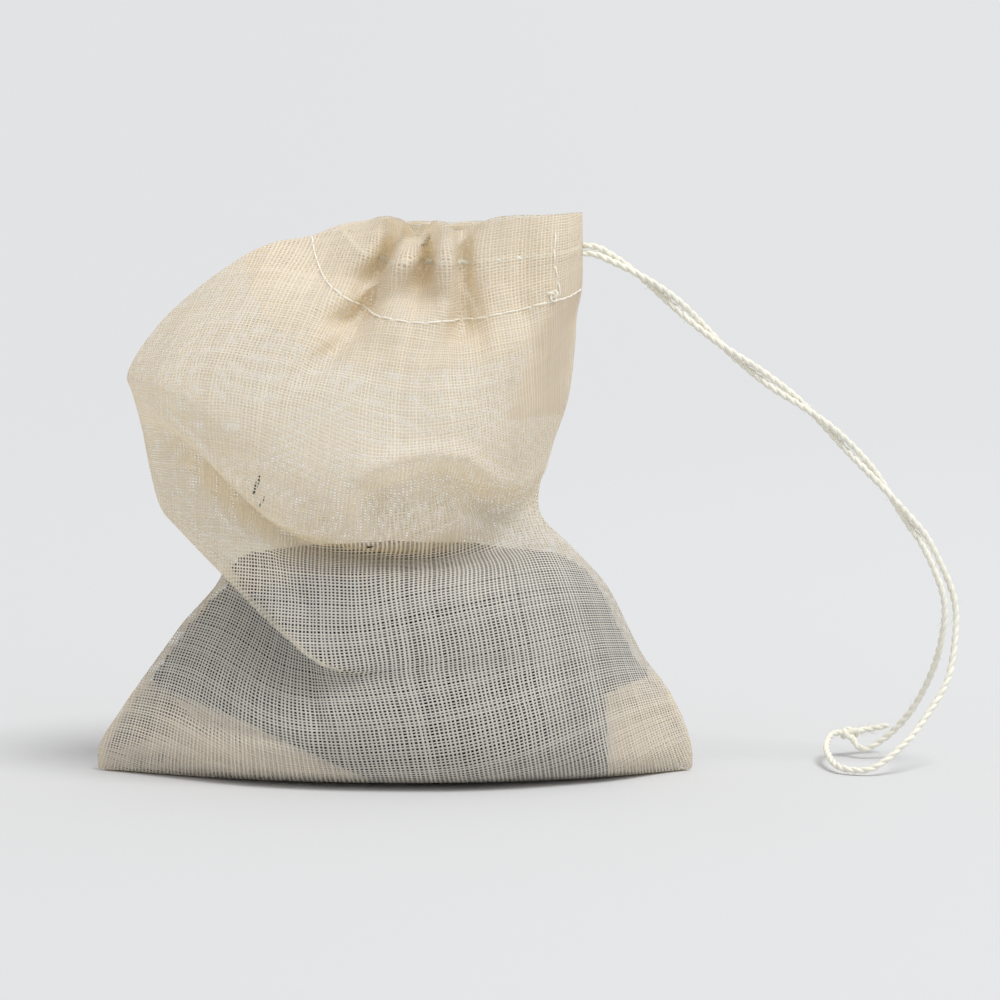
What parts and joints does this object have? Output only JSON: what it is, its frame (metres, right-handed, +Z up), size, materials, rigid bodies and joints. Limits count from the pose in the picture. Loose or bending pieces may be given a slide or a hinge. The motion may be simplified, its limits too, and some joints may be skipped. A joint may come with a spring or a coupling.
{
  "type": "reusable tea filter bag",
  "caption": "Small unbleached cotton muslin bag with a gathered drawstring hem, standing on its tea-filled pouch, with a knotted cotton string trailing from the hem to the floor.",
  "frame": {"origin": "centre of the bag's footprint on the surface it stands on", "axes": "+Z up; +X to the side the drawstring leaves, along the bottom seam; -Y towards the side the upper part slumps over"},
  "size_m": [0.113, 0.0401, 0.0735],
  "materials": {
    "unbleached_muslin": "matte open weave",
    "dried_tea": "matte dried leaf",
    "cotton_string": "matte twisted",
    "sewing_thread": "soft sheen"
  },
  "bodies": {
    "root": {"muslin_bag": "unbleached_muslin", "tea_leaves": "dried_tea", "drawstring_casing_run": "cotton_string", "drawstring_left_strand": "cotton_string", "drawstring_right_strand": "cotton_string", "drawstring_knot": "cotton_string", "hem_stitch_thread": "sewing_thread"}
  },
  "joints": []
}
